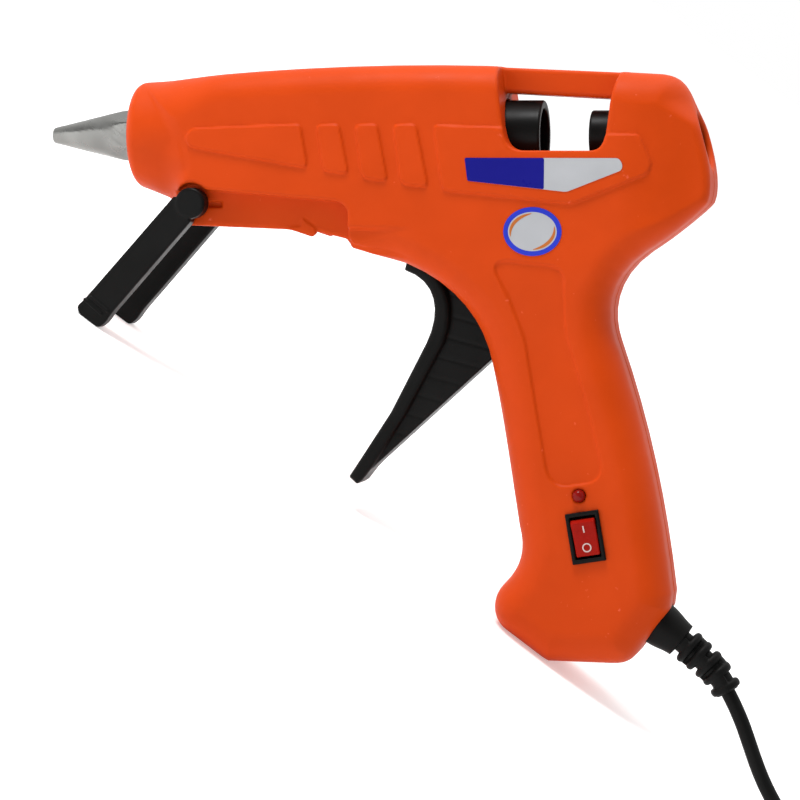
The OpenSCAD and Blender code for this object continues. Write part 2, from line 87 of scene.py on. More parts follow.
# ---------------------------------------------------------------- camera
AZIMUTH, ELEVATION, ROLL = math.radians(12.5), math.radians(3.4), math.radians(0.4)
DISTANCE = 0.9
LENS = 135
SENSOR, FAR_CLIP = 36, 10
AIM = (109, 0, -79)


def make_camera():
    """The photo's camera, turned round the gun in the gun's own frame."""
    back = np.array([math.sin(AZIMUTH) * math.cos(ELEVATION),
                     -math.cos(AZIMUTH) * math.cos(ELEVATION), math.sin(ELEVATION)])
    across = np.array([math.cos(AZIMUTH), math.sin(AZIMUTH), 0])
    up = np.cross(back, across)
    right = across * math.cos(ROLL) + up * math.sin(ROLL)
    up = up * math.cos(ROLL) - across * math.sin(ROLL)
    axes = np.array([right, up, back]) @ TILT.T
    turn = Matrix(axes.T.tolist()).to_4x4()
    camera = linked("camera", bpy.data.cameras.new("camera"))
    camera.data.lens = LENS
    camera.data.sensor_width = SENSOR
    camera.data.clip_end = FAR_CLIP
    place = Vector(to_row([AIM])[0]) + Vector(axes[2]) * DISTANCE
    camera.matrix_world = Matrix.Translation(place) @ turn
    bpy.context.scene.camera = camera


make_camera()


# ---------------------------------------------------------------- materials
# Scales of the noise for uneven colour, for uneven gloss and for small rub marks
TONE_SCALE, GLOSS_SCALE, SCUFF_SCALE = 55, 120, 420
BUMP_STRENGTH, COAT_ROUGH = 0.6, 0.12


def noise(tree, coords, scale, detail=2.0):
    n = tree.nodes.new("ShaderNodeTexNoise")
    n.inputs["Scale"].default_value = scale
    n.inputs["Detail"].default_value = detail
    tree.links.new(coords, n.inputs["Vector"])
    return n.outputs["Fac"]


def remap(tree, value, low, high, to_low, to_high):
    n = tree.nodes.new("ShaderNodeMapRange")
    for name, x in (("From Min", low), ("From Max", high), ("To Min", to_low), ("To Max", to_high)):
        n.inputs[name].default_value = x
    tree.links.new(value, n.inputs["Value"])
    return n.outputs["Result"]


def mixed(tree, factor, first, second):
    """Two colours mixed by a factor; each is a colour or a socket."""
    n = tree.nodes.new("ShaderNodeMix")
    n.data_type = "RGBA"
    colours = [s for s in n.inputs if s.type == "RGBA"]
    for s, c in zip(colours, (first, second)):
        if isinstance(c, bpy.types.NodeSocket):
            tree.links.new(c, s)
        else:
            s.default_value = (*c, 1)
    tree.links.new(factor, n.inputs[0])
    return next(s for s in n.outputs if s.type == "RGBA")


def finish_of(name, colour, rough, metal=0.0, grain=0.35, bump=0.04, blotch=0.06, scuffs=0.0,
              coat=0.0, spec=0.5, spread=0.06):
    """A moulded, cast or plated finish. grain is the size of its surface texture in mm, bump its
    depth in mm, blotch how uneven its colour is, spread how uneven its roughness is, and scuffs
    how strongly its small rub marks show."""
    m = bpy.data.materials.new(name)
    m.use_nodes = True
    t = m.node_tree
    shader = t.nodes["Principled BSDF"]
    coords = t.nodes.new("ShaderNodeTexCoord").outputs["Object"]
    dark = [c * (1 - blotch) for c in colour]
    light = [min(1, c * (1 + blotch) + blotch * 0.02) for c in colour]
    tone = mixed(t, remap(t, noise(t, coords, TONE_SCALE), 0.35, 0.65, 0, 1), dark, light)
    if scuffs:
        marks = remap(t, noise(t, coords, SCUFF_SCALE), 0.73, 0.79, 0, scuffs)
        tone = mixed(t, marks, tone, [min(1, c * 1.5 + 0.12) for c in colour])
    t.links.new(tone, shader.inputs["Base Color"])
    gloss = remap(t, noise(t, coords, GLOSS_SCALE, 4.0), 0.3, 0.7, max(0, rough - spread),
                  rough + spread)
    t.links.new(gloss, shader.inputs["Roughness"])
    relief = t.nodes.new("ShaderNodeBump")
    relief.inputs["Strength"].default_value = BUMP_STRENGTH
    relief.inputs["Distance"].default_value = bump * MM
    t.links.new(noise(t, coords, 1 / (grain * MM) / 2, 3.0), relief.inputs["Height"])
    t.links.new(relief.outputs["Normal"], shader.inputs["Normal"])
    shader.inputs["Metallic"].default_value = metal
    shader.inputs["Coat Weight"].default_value = coat
    shader.inputs["Coat Roughness"].default_value = COAT_ROUGH
    shader.inputs["Specular IOR Level"].default_value = spec
    return m


FINISH = {
    "orange_shell": finish_of("orange_shell", (0.545, 0.049, 0.0016), 0.5, grain=0.25, bump=0.012,
                              blotch=0.03, scuffs=0.3, spec=0.1),
    "black_plastic": finish_of("black_plastic", (0.0035, 0.0035, 0.0033), 0.38, bump=0.015,
                               scuffs=0.03, spec=0.09),
    "black_rubber": finish_of("black_rubber", (0.004, 0.004, 0.0038), 0.48, bump=0.02, scuffs=0.02,
                              spec=0.09),
    "nozzle_metal": finish_of("nozzle_metal", (0.23, 0.23, 0.22), 0.3, metal=1, grain=0.5,
                              bump=0.04, blotch=0.22, scuffs=0.25, spread=0.14),
    "cast_metal": finish_of("cast_metal", (0.50, 0.50, 0.51), 0.45, metal=1, grain=0.6, bump=0.05),
    "plated_steel": finish_of("plated_steel", (0.60, 0.60, 0.62), 0.25, metal=1, bump=0.006),
    "screw_steel": finish_of("screw_steel", (0.10, 0.10, 0.105), 0.35, metal=1, bump=0.01),
    "brass": finish_of("brass", (0.72, 0.50, 0.20), 0.3, metal=1, bump=0.01),
    "ceramic": finish_of("ceramic", (0.74, 0.70, 0.60), 0.55, bump=0.02),
    "amber_film": finish_of("amber_film", (0.45, 0.20, 0.02), 0.3, grain=0.6, bump=0.01),
    "silicone": finish_of("silicone", (0.50, 0.07, 0.04), 0.5, bump=0.01),
    "rocker_red": finish_of("rocker_red", (0.30, 0.006, 0.002), 0.24, bump=0.004, spec=0.06),
    "led_red": finish_of("led_red", (0.20, 0.003, 0.002), 0.14, bump=0.003, coat=0.05, spec=0.12),
    "board_green": finish_of("board_green", (0.02, 0.16, 0.05), 0.45, bump=0.01),
    "resistor_tan": finish_of("resistor_tan", (0.55, 0.38, 0.20), 0.45, bump=0.01),
    "lead_red": finish_of("lead_red", (0.42, 0.02, 0.015), 0.4, bump=0.01),
    "lead_white": finish_of("lead_white", (0.72, 0.72, 0.70), 0.4, bump=0.01),
    "tie_grey": finish_of("tie_grey", (0.05, 0.05, 0.055), 0.6, grain=0.5, bump=0.05, spec=0.2),
    "label_film": finish_of("label_silver", (0.40, 0.41, 0.43), 0.4, metal=0.2, grain=0.15,
                            bump=0.006, spec=0.3),
    "sticker_film": finish_of("sticker_white", (0.44, 0.45, 0.47), 0.4, grain=0.2, bump=0.005,
                              spec=0.3),
}
LABEL_BLUE = finish_of("label_blue", (0.006, 0.006, 0.19), 0.3, bump=0.004, blotch=0.03, spec=0.08)
RING_BLUE = finish_of("sticker_blue", (0.02, 0.035, 0.45), 0.35, bump=0.004, spec=0.12)
ARC_BROWN = finish_of("sticker_arc", (0.42, 0.12, 0.02), 0.4, bump=0.004, spec=0.25)
OVAL_GREY = finish_of("sticker_grey", (0.38, 0.39, 0.41), 0.4, grain=0.2, bump=0.005, spec=0.3)
MARK_WHITE = finish_of("mark_white", (0.58, 0.46, 0.43), 0.4, bump=0.003)


# ---------------------------------------------------------------- pieces
def mesh_from(name, shape):
    """The mesh of a bmesh, which is then freed."""
    mesh = bpy.data.meshes.new(name)
    shape.to_mesh(mesh)
    shape.free()
    return mesh


def settle(piece, body, slot, nodes, materials=()):
    """Gives a piece its finish, its CAD body and the nodes it stands for."""
    for m in materials or [FINISH[slot]]:
        piece.data.materials.append(m)
    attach(piece, body)
    if nodes:
        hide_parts(*nodes)
    return piece


def curve_piece(name, points, radius, body, slot, nodes):
    """A round cord through the points, which are in the row frame in metres."""
    data = bpy.data.curves.new(name, "CURVE")
    data.dimensions = "3D"
    data.bevel_depth = radius
    data.bevel_resolution = 5
    data.use_fill_caps = True
    spline = data.splines.new("POLY")
    spline.points.add(len(points) - 1)
    spline.points.foreach_set("co", np.c_[points, np.ones(len(points))].ravel())
    spline.use_smooth = True
    return settle(linked(name + "_piece", data), body, slot, nodes)


def smooth_line(points, step):
    """A Catmull-Rom curve through the points, sampled about every step."""
    p = np.asarray(points, float)
    p = np.vstack([2 * p[0] - p[1], p, 2 * p[-1] - p[-2]])
    out = []
    for a, b, c, d in zip(p, p[1:], p[2:], p[3:]):
        n = max(1, round(np.linalg.norm(c - b) / step))
        t = np.arange(n)[:, None] / n
        out.append(b + t * ((c - a) / 2 + t * (a - 2.5 * b + 2 * c - d / 2
                                              + t * (1.5 * (b - c) + (d - a) / 2))))
    return np.vstack([*out, p[-2:-1]])


# ---------------------------------------------------------------- mains lead, row frame in mm
CORD = 4.4
# The hank's first fold, the mean radius of its folds, and the length of its straight runs
FOLD_X, FOLD_R, RUN = 204.4, 17, 34
# Its turns, and in 360ths of a turn what a change of column or layer takes and the line's step
TURNS, CHANGE, LINE_STEP = 6, 45, 6
TIE_T = 0.8
LEAD_IN = [(131.9, 0, 24), (136, 0, 21.9), (140.4, 0, 19.3), (145.4, 0, 15.9), (151, 0, 12),
           (157, -0.3, 8.4), (164, -2, 5.4), (171, -5.4, 3.7), (178, -9.9, 3.1),
           (185, -14.3, 3), (192, -17.6, 3), (199, -19.1, 3)]
TAIL = [(244, -15.3, 16.7), (250, -15.4, 17), (256, -14, 16), (262, -11.3, 14.2),
        (268, -7.9, 11.8), (274, -4.7, 9.6), (280, -2.1, 8), (286, -0.5, 7.2), (292.6, 0, 7)]
# Where in each turn the winding goes over into its next column or layer, so that turns never meet
CHANGES = (315, 270, 225, 180, 135, 90)


def hank_line():
    """Layers of two turns, in and out by turns. A turn's 360 is 90 for each run and fold."""
    columns = (FOLD_R + CORD / 2, FOLD_R - CORD / 2)
    line = []
    for progress in range(0, TURNS * 360 + 90, LINE_STEP):
        r, z = columns[0], CORD / 2
        for n, start in enumerate(CHANGES, 1):
            t = min(1, max(0, (progress - 360 * (n - 1) - start) / CHANGE))
            t = t * t * (3 - 2 * t)
            layer, place = divmod(n, 2)
            r += (columns[(place + layer) % 2] - r) * t
            z += (CORD * (layer + 0.5) - z) * t
        side, along = divmod(progress % 360, 90)
        fold = math.radians(2 * along)
        x, y = ((RUN * along / 90, -r), (RUN + r * math.sin(fold), -r * math.cos(fold)),
                (RUN * (1 - along / 90), r), (-r * math.sin(fold), r * math.cos(fold)))[side]
        line.append((FOLD_X + x, y, z + TIE_T))
    return line


lead = np.vstack([smooth_line(LEAD_IN, 4)[:-1], hank_line(), smooth_line(TAIL, 4)]) * MM
lead = smooth_line(lead, 1.5 * MM)
mains = curve_piece("mains_lead", lead, CORD / 2 * MM, "housing", "black_rubber",
                    ["power_cord", "cord_hank", "cord_tail"])


class Lattice:
    """Points of a box of the gun frame, a step apart, as arrays that broadcast together. s is how
    far out they are from the middle plane."""

    def __init__(self, low, high, step):
        self.low, self.step = np.array(low, float), step
        axes = [np.arange(a, b + step, step, dtype=np.float32) for a, b in zip(low, high)]
        self.u, self.y, self.v = np.meshgrid(*axes, indexing="ij", sparse=True)
        self.s = abs(self.y)


def bez(a, b, c, d, n=8):
    """Points of a cubic curve, without its first point."""
    a, b, c, d = (np.array(p, float) for p in (a, b, c, d))
    t = np.arange(1, n + 1)[:, None] / n
    return list((1 - t) ** 3 * a + 3 * (1 - t) ** 2 * t * b + 3 * (1 - t) * t * t * c + t ** 3 * d)


def rounded(points, radius):
    """A polygon with each corner replaced by a short curve."""
    p = np.asarray(points, float)
    out = []
    for a, b, c in zip(np.roll(p, 1, 0), p, np.roll(p, -1, 0)):
        back, on = a - b, c - b
        m, n = np.linalg.norm(back), np.linalg.norm(on)
        e, f = b + back / m * min(radius, 0.45 * m), b + on / n * min(radius, 0.45 * n)
        out += [e] + bez(e, e + (b - e) * 0.6, f + (b - f) * 0.6, f, 4)
    return out


def polygon(points, x, z):
    """Signed distance to a polygon of the x-z plane, negative inside."""
    p = np.asarray(points, np.float32)
    best = np.full(np.broadcast(x, z).shape, 1e9, np.float32)
    inside = np.zeros(best.shape, bool)
    for (ax, az), (bx, bz) in zip(p, np.roll(p, -1, 0)):
        ex, ez = bx - ax, bz - az
        t = np.clip(((x - ax) * ex + (z - az) * ez) / max(ex * ex + ez * ez, 1e-9), 0, 1)
        best = np.minimum(best, (x - ax - t * ex) ** 2 + (z - az - t * ez) ** 2)
        if az != bz:
            inside ^= ((az > z) != (bz > z)) & (x < ax + (z - az) / (bz - az) * ex)
    return np.where(inside, -1, 1) * np.sqrt(best)


def join(a, b, blend=0.0):
    """a and b together, with the corner between them filled by blend."""
    blend = np.maximum(blend, 1e-4)
    h = np.maximum(blend - abs(a - b), 0)
    return np.minimum(a, b) - h * h / (4 * blend)


def cut(a, b, blend=0.0):
    """a without b, with an edge rounded by blend."""
    return -join(-a, b, blend)


def common(a, b, blend=0.0):
    """What a and b share, with its edge rounded by blend."""
    return -join(-a, -b, blend)


def slab(flat, across, radius):
    """A side shape as thick as across says, with its edges rounded to radius."""
    p, q = flat + radius, across + radius
    return (np.minimum(np.maximum(p, q), 0) + np.sqrt(np.maximum(p, 0) ** 2 + np.maximum(q, 0) ** 2)
            - radius)


def ramp(x, start, end):
    """0 before start and 1 after end, smoothly."""
    t = np.clip((x - start) / (end - start), 0, 1)
    return t * t * (3 - 2 * t)


def disc(g, u, v, radius):
    """A round bore or rod across the gun."""
    return np.hypot(g.u - u, g.v - v) - radius


def rod(g, radius, start, end):
    """A round bore or rod along the barrel."""
    around = np.sqrt(g.y ** 2 + g.v ** 2)
    return np.maximum(around - radius, np.maximum(start - g.u, g.u - end))


def sampled(g, values, points):
    """Values of a lattice's array between its points."""
    at = np.clip((points - g.low) / g.step, 0, np.array(values.shape) - 1.001)
    i = at.astype(int)
    f = at - i
    out = 0
    for corner in range(8):
        o = [(corner >> k) & 1 for k in range(3)]
        w = np.prod([f[:, k] if o[k] else 1 - f[:, k] for k in range(3)], axis=0)
        out = out + w * values[i[:, 0] + o[0], i[:, 1] + o[1], i[:, 2] + o[2]]
    return out


def thinned(piece, keep):
    """Leaves a share of the faces, with normals weighted by face size so that flats stay flat."""
    piece.modifiers.new("thin", "DECIMATE").ratio = keep
    piece.modifiers.new("even", "WEIGHTED_NORMAL").weight = 70
    for face in piece.data.polygons:
        face.use_smooth = True
    name = piece.data.name
    view = bpy.context.evaluated_depsgraph_get()
    piece.data = bpy.data.meshes.new_from_object(piece.evaluated_get(view))
    piece.modifiers.clear()
    piece.data.name = name


def follow_field(mesh, g, field, world, back):
    """Sets a mesh's normals from the slope of its field."""
    slopes = np.gradient(field, g.step)
    co = np.empty(len(mesh.vertices) * 3, np.float32)
    mesh.vertices.foreach_get("co", co)
    at = back(co)
    normals = np.stack([sampled(g, s, at) for s in slopes], -1)
    normals = world(at + normals) - world(at)
    normals /= np.maximum(np.linalg.norm(normals, axis=1, keepdims=True), 1e-12)
    mesh.polygons.foreach_set("use_smooth", np.ones(len(mesh.polygons), bool))
    mesh.normals_split_custom_set_from_vertices(normals)


def skin(name, g, field, body, slot, nodes, keep=1.0, world=to_row, back=to_gun):
    """The surface where the field is zero. keep is the share of faces that thinning leaves."""
    reach = 3 * g.step
    field = np.ascontiguousarray(np.clip(field, -reach, reach), dtype=np.float32)
    grid = openvdb.FloatGrid(reach)
    grid.copyFromArray(field)
    points, quads = grid.convertToQuads()
    mesh = bpy.data.meshes.new(name)
    mesh.from_pydata(world(points * g.step + g.low), [], quads)
    mesh.validate()
    piece = linked(name + "_piece", mesh)
    if keep < 1:
        thinned(piece, keep)
    else:
        follow_field(mesh, g, field, world, back)
    return settle(piece, body, slot, nodes)


# ---------------------------------------------------------------- housing
def floor_v(u):
    """The height of the tabletop under the gun at u."""
    return -(LIFT + u * math.sin(LEAN)) / math.cos(LEAN)


# Outlines in (u, v). HEEL is where the flat that stands on the table starts and ends.
HEEL = (142.5, 154)
OUTLINE = [(31, 3), (31, 15.6),
           *bez((31, 15.6), (60, 19), (100, 21.4), (137, 20.2)), (188, 17.8),
           *bez((188, 17.8), (194.6, 17.4), (196.3, 10), (198.7, 4)),
           *bez((198.7, 4), (201.4, -4), (203.9, -14), (201.8, -19.4)),
           *bez((201.8, -19.4), (200.6, -21.4), (190.5, -29.8), (184, -33.8)),
           *bez((184, -33.8), (172, -42), (172.5, -53), (175, -60)),
           *bez((175, -60), (184, -85), (189, -108), (192.4, -134)), (191.9, -138.4), (184.3, -149),
           *bez((184.3, -149), (181.5, -153.5), (180, -155), (175, -155)), (156, -155),
           (HEEL[1], floor_v(HEEL[1])), (HEEL[0], floor_v(HEEL[0])),
           *bez((HEEL[0], floor_v(HEEL[0])), (138.6, -142), (139, -136), (142.5, -132.5)),
           *bez((142.5, -132.5), (148, -127), (148.8, -121.5), (147, -115)),
           *bez((147, -115), (144, -97), (142, -83), (138.5, -67.4)),
           *bez((138.5, -67.4), (136, -55), (128, -44), (113, -38)),
           (97, -33.4), (95.1, -30.8), (86.6, -28.8), (76, -28.1), (43, -27), (40.5, -18), (36, -7)]
WINDOW = [(140.3, 34), (140.3, 19), (142.6, 2),
          *bez((142.8, 2), (143.4, -3), (145, -4.7), (149, -4.7)),
          (168.5, -4.7), *bez((168.5, -4.7), (171.8, -4.7), (172.6, -2), (173, 1)), (174.1, 10),
          (175.8, 18), (178, 34)]
BRIDGE = [(139, 20.1), (178, 18.3), (178, 10.4), (139, 12.6)]
RECESS = [(50, -16.2), (93.8, -19.7), (96.4, -22), (96.4, -44), (30, -44), (36, -24), (41.5, -17)]
RIM_SLOT = [(110, -50), (110, -33), (117, -25), (128, -25), (140, -32), (146, -50), (138, -62),
            (128, -62)]
WEB_SLOT = [(120, -60), (120, -28), (140, -30), (153, -48), (152, -64), (144, -80), (132, -84)]
THUMB = [(140.8, -38.9), (145.2, -47), (150, -58.9), (153.2, -77.2), (157.2, -99.5), (160.4, -102),
         (170.3, -100.4), (172.2, -97.2), (167, -77), (160.9, -57.3), (160.4, -40.2),
         (157.8, -38.8), (143, -37.2)]
RIBS = [[(46.7, -1), (48.7, 1.5), (82.1, 2.8), (84.2, -9), (83.2, -9.8), (48.1, -3.7)],
        [(87.2, 2.6), (93.8, 2.8), (96.6, -10.7), (95.8, -11.6), (90.1, -10.9), (89.1, -10)],
        [(98.8, 2.6), (105.3, 2.8), (108.4, -12.8), (107.6, -13.7), (102, -12.9), (100.8, -11.7)],
        [(110.4, 2.6), (117, 2.8), (120.6, -14.5), (119.8, -15.3), (113.8, -14.6), (112.6, -13.7)]]
PANEL = [(122.4, 2.5), (144, 1.8), (147, -4.6), (170, -4.6), (173, 0), (182.6, -0.2),
         (186.2, -8.5), (184.9, -11.3), (166, -19), (162.8, -19.9), (125.2, -16.3)]
CATCH = [(76.4, -27.7), (84.6, -30.3), (86, -29.2), (85.4, -27.6), (81.7, -24.9), (81.2, -27.2)]
# Where each screw is in (u, v), and how far out the seat of its head is
SCREWS = [(72, -22.5, 9), (112, 14.6, 11), (184, 11.6, 11), (182, -24, 12), (167, -86, 11),
          (151, -139.5, 11)]
AXLE, TRIGGER_PIN = (48.5, -20.5), (121, -33)
# Half widths of the body, grip and keel, and the wall's thickness
BODY_HW, GRIP_HW, KEEL_HW, WALL = 17, 15.5, 12.3, 2.2
SIDE_EDGE, KEEL_EDGE = 8.6, 1.6
RIB_RISE, THUMB_DEPTH, CREASE_DEPTH = 0.8, 0.7, 1.5
# Cross walls inside as (u, lowest v, highest v), and bores along the barrel as (radius, start,
# end) for the nozzle, melt chamber, carriage and rear guide
CROSS_WALLS = ((33, -26, 24), (92, -11.5, 24), (178, -30, 20))
BORES = ((8.2, 20, 33.2), (10.1, 30, 96), (10.9, 90, 152.6), (7.55, 175, 193))
# The nose's front and radius, and places in (u, v) with how far they lean
NOSE_U, NOSE_R = 27.2, 16
SWITCH, SWITCH_LEAN = (168.2, -117), math.radians(10)
LAMP = (166, -105)
RELIEF, RELIEF_DOWN = (188.1, -143.7), math.radians(36)


def switch_axes(g):
    """Across the switch, into the gun, and along the switch, from the middle of its face."""
    du, dv = g.u - SWITCH[0], g.v - SWITCH[1]
    return (du * math.cos(SWITCH_LEAN) + dv * math.sin(SWITCH_LEAN), g.y + GRIP_HW,
            dv * math.cos(SWITCH_LEAN) - du * math.sin(SWITCH_LEAN))


def outer_body(g):
    """The housing's plain outer form."""
    u, v, s = g.u, g.v, g.s
    half = GRIP_HW + (BODY_HW - GRIP_HW) * ramp(v, -66, -36)
    half = half - 5.4 * ramp(u, 176, 203) * ramp(v, -42, -22)
    # How round its edges are: most at the nose, least at the keel and at the tail's sides
    keel = ramp(-v, 10, 17) * ramp(u, 40, 52) * (1 - ramp(u, 96, 112))
    edge = SIDE_EDGE + 1.2 * ramp(-v, 30, 60) + 7.2 * (1 - ramp(u, 33, 60))
    edge = edge - 6.1 * ramp(u, 172, 187) * ramp(v, -34, -16) * (1 - ramp(v, 2, 11))
    edge = edge + 2.4 * ramp(u, 165, 185) * ramp(v, 0, 10)
    edge = edge * (1 - keel) + KEEL_EDGE * keel
    body = slab(polygon(OUTLINE, u, v), s - half, edge)
    # The round nose, which grows deeper below the barrel
    drop = 1 + 0.022 * np.maximum(u - 30, 0) * (v < 0)
    ring = np.sqrt(g.y ** 2 + (v / drop) ** 2) - NOSE_R - 0.02 * (u - NOSE_U)
    nose = np.maximum(slab(NOSE_U - u, ring, 3.2), u - 44)
    return join(body, nose, 0.8 + 3.2 * ramp(-v, 0, 9))


def with_relief(g, body):
    """The outer form with its ribs and panel, thumb rest, and the fold ahead of the trigger."""
    u, v, s = g.u, g.v, g.s
    ribs = np.minimum.reduce([polygon(rounded(rib, 1.4), u, v) for rib in RIBS])
    raised = np.minimum(ribs, polygon(rounded(PANEL, 1.2), u, v))
    thumb = polygon(rounded(THUMB, 2.5), u, v)
    on_side = ramp(s, 12, 13.5)
    body = body - RIB_RISE * (1 - ramp(raised, -0.15, 0.3)) * on_side
    body = body + THUMB_DEPTH * (1 - ramp(thumb, 0.35, 0.95)) * on_side
    crease = ramp(u, 92, 97) * (1 - ramp(u, 100, 118))
    return body + CREASE_DEPTH * crease * ramp(-v, 26.9, 28.4) * ramp(s, 12.8, 14)


def insides(g, window, recess):
    """Bosses, cross walls, and the walls round the window and behind the leg's recess."""
    u, v, s = g.u, g.v, g.s
    posts = np.minimum.reduce([disc(g, a, b, 4.4) for a, b, _ in SCREWS])
    posts = np.minimum(posts, disc(g, *AXLE, 4.6))
    posts = join(posts, np.maximum(disc(g, *TRIGGER_PIN, 4.6), 10.6 - s))
    for start, low, high in CROSS_WALLS:
        wall = np.maximum(np.maximum(start - u, u - start - 2), np.maximum(low - v, v - high))
        posts = np.minimum(posts, wall)
    lining = np.maximum(window - WALL, -6.5 - v)
    floor = np.maximum(recess - WALL, KEEL_HW - WALL - s)
    return np.minimum(posts, np.minimum(lining, floor))


def bored(g, solid):
    """The housing with its bores, the slots of the trigger and the strain relief's seat."""
    u, v, s = g.u, g.v, g.s
    for radius, start, end in BORES:
        solid = cut(solid, rod(g, radius, start, end), 0.5)
    mouth = np.maximum(np.hypot(g.y, v + 1.2) - 7.2 - 0.1 * (u - 192), 191.9 - u)
    solid = cut(solid, mouth, 1.4)
    solid = cut(solid, np.maximum(polygon(RIM_SLOT, u, v), s - 6.5), 0.6)
    solid = cut(solid, np.maximum(polygon(WEB_SLOT, u, v), s - 4.7), 0.6)
    solid = cut(solid, disc(g, *AXLE, 2.6))
    solid = cut(solid, np.maximum(disc(g, *TRIGGER_PIN, 2.1), s - BODY_HW + 2.5))
    du, dv = u - RELIEF[0], v - RELIEF[1]
    along = du * math.cos(RELIEF_DOWN) - dv * math.sin(RELIEF_DOWN)
    ring = np.hypot(g.y, du * math.sin(RELIEF_DOWN) + dv * math.cos(RELIEF_DOWN))
    solid = cut(solid, np.maximum(ring - 6.9, np.maximum(-7 - along, along - 8)), 0.6)
    return cut(solid, np.maximum(ring - 8.4, np.maximum(-7.2 - along, along + 1.9)))


def fitted_out(g, solid, sign):
    """The left half's openings for lamp, switch and screw tips, or the right one's screw holes."""
    s = g.s
    if sign < 0:
        solid = cut(solid, np.maximum(disc(g, *LAMP, 2.0), 8 - s), 0.4)
        across, _, up = switch_axes(g)
        hole = np.maximum(abs(across) - 4.4, abs(up) - 6.7)
        solid = cut(solid, np.maximum(hole, 7.5 - s))
    for a, b, seat in SCREWS:
        if sign < 0:
            solid = cut(solid, np.maximum(disc(g, a, b, 1.25), s - seat + 1))
        else:
            solid = cut(solid, disc(g, a, b, 1.7))
            solid = cut(solid, np.maximum(disc(g, a, b, 2.9), seat - s), 0.5)
    return solid


def housing_half(name, sign):
    """One moulded half: the left where sign is -1, the right where it is 1."""
    step = 0.46
    near, far = sorted((-2 * sign * step, 19 * sign))
    g = Lattice((24, near, -160), (206, far, 24), step)
    u, v, s = g.u, g.v, g.s
    body = with_relief(g, outer_body(g))
    window = polygon(rounded(WINDOW, 1.0), u, v)
    recess = np.minimum(polygon(rounded(RECESS, 1.2), u, v), disc(g, *AXLE, 6))
    shell = np.maximum(body, -(body + WALL))
    solid = np.minimum(shell, np.maximum(insides(g, window, recess), body + 1.0))
    solid = cut(solid, window, 0.8)
    bar = slab(polygon(BRIDGE, u, v), s - 5, 1.2)
    solid = join(solid, np.maximum(bar, body + 0.05), 0.8)
    solid = cut(solid, np.maximum(recess, KEEL_HW - s), 0.7)
    catch = slab(polygon(CATCH, u, v), abs(s - KEEL_HW + 0.5) - 0.85, 0.3)
    solid = join(solid, catch, 0.4)
    # A small slot just behind the leg's axle
    slot = np.maximum(np.maximum(52.6 - u, u - 56.8), np.maximum(-21.6 - v, v + 19.8))
    solid = cut(solid, np.maximum(slot, KEEL_HW - 1.1 - s), 0.4)
    solid = fitted_out(g, bored(g, solid), sign)
    # The joint between the halves, with a fine groove along it
    solid = np.maximum(solid, 0.03 - sign * g.y)
    solid = np.maximum(solid, np.minimum(0.32 - sign * g.y, body + 0.5))
    return skin(name, g, solid, "housing", "orange_shell", [name], keep=0.34)


housing_half("housing_left", -1)
housing_half("housing_right", 1)


# ---------------------------------------------------------------- nozzle, carriage and rear guide
TIP_R, CONE_SLOPE, HEX_HW, NOZZLE_BORE = 2.3, 0.235, 6.7, 1


def make_nozzle():
    """A hexagon turned down to a cone, with the fine grain of a casting."""
    g = Lattice((-1, -9, -9), (39, 9, 9), 0.26)
    around = np.hypot(g.y, g.v)
    cant_y, cant_v = g.y / 2, g.v * math.sqrt(0.75)
    flats = np.maximum(abs(cant_y + cant_v), abs(cant_y - cant_v))
    hexagon = np.maximum(abs(g.y), flats) - HEX_HW
    cone = (around - TIP_R - CONE_SLOPE * g.u) / math.hypot(1, CONE_SLOPE)
    grain = 0.018 * (np.sin(2.1 * g.u + 1.7 * g.y) * np.sin(1.9 * g.v - 1.3 * g.u)
                    + np.sin(4.3 * g.y + 3.1 * g.u) * np.sin(3.7 * g.v) * 0.5)
    solid = common(hexagon, cone, 0.35) + grain
    solid = common(solid, -g.u, 0.7)
    solid = np.maximum(solid, g.u - 33.4)
    solid = join(solid, rod(g, 5, 32, 38), 0.3)
    solid = cut(solid, around - NOZZLE_BORE, 0.5)
    solid = cut(solid, around - NOZZLE_BORE - 0.1 * (g.u - 14), 0.2)
    return skin("nozzle", g, solid, "housing", "nozzle_metal", ["nozzle"])


# The drive pin, at the end of the trigger's arm
ARM, ARM_LEAN = 20, math.radians(11)
DRIVE = (TRIGGER_PIN[0] + ARM * math.sin(ARM_LEAN), TRIGGER_PIN[1] + ARM * math.cos(ARM_LEAN))


def block(g, low, high, radius=0.3):
    """A box with its edges rounded to radius."""
    d = [np.maximum(a - x, x - b) + radius for x, a, b in zip((g.u, g.y, g.v), low, high)]
    out = np.sqrt(sum(np.maximum(x, 0) ** 2 for x in d))
    return out + np.minimum(np.maximum(d[0], np.maximum(d[1], d[2])), 0) - radius


def make_carriage():
    """The ring that grips and pushes the stick, with its side rails and the drive pin's lugs."""
    g = Lattice((122.5, -14.5, -19), (154, 14.5, 12), 0.36)
    around = np.hypot(g.y, g.v)
    tube = slab(abs(g.u - 138.15) - 14.15, abs(around - 9.25) - 1.25, 0.55)
    solid = join(tube, block(g, (128, -13, -1.4), (140, 13, 1.4)), 0.6)
    for y in (-8, 4.2):
        lug = block(g, (DRIVE[0] - 4, y, DRIVE[1] - 3.6), (DRIVE[0] + 4, y + 3.8, DRIVE[1] + 10))
        solid = join(solid, lug, 0.6)
    solid = cut(solid, around - 8, 0.4)
    solid = cut(solid, disc(g, *DRIVE, 1.9))
    # The gripper jaw's slot and the bore of its pin
    solid = cut(solid, block(g, (127.5, -2.2, 6), (140.5, 2.2, 16)), 0.3)
    solid = cut(solid, np.maximum(disc(g, 136.5, 8.5, 1.1), g.s - 7))
    return skin("feed_carriage", g, solid, "carriage", "black_plastic", ["feed_carriage"])


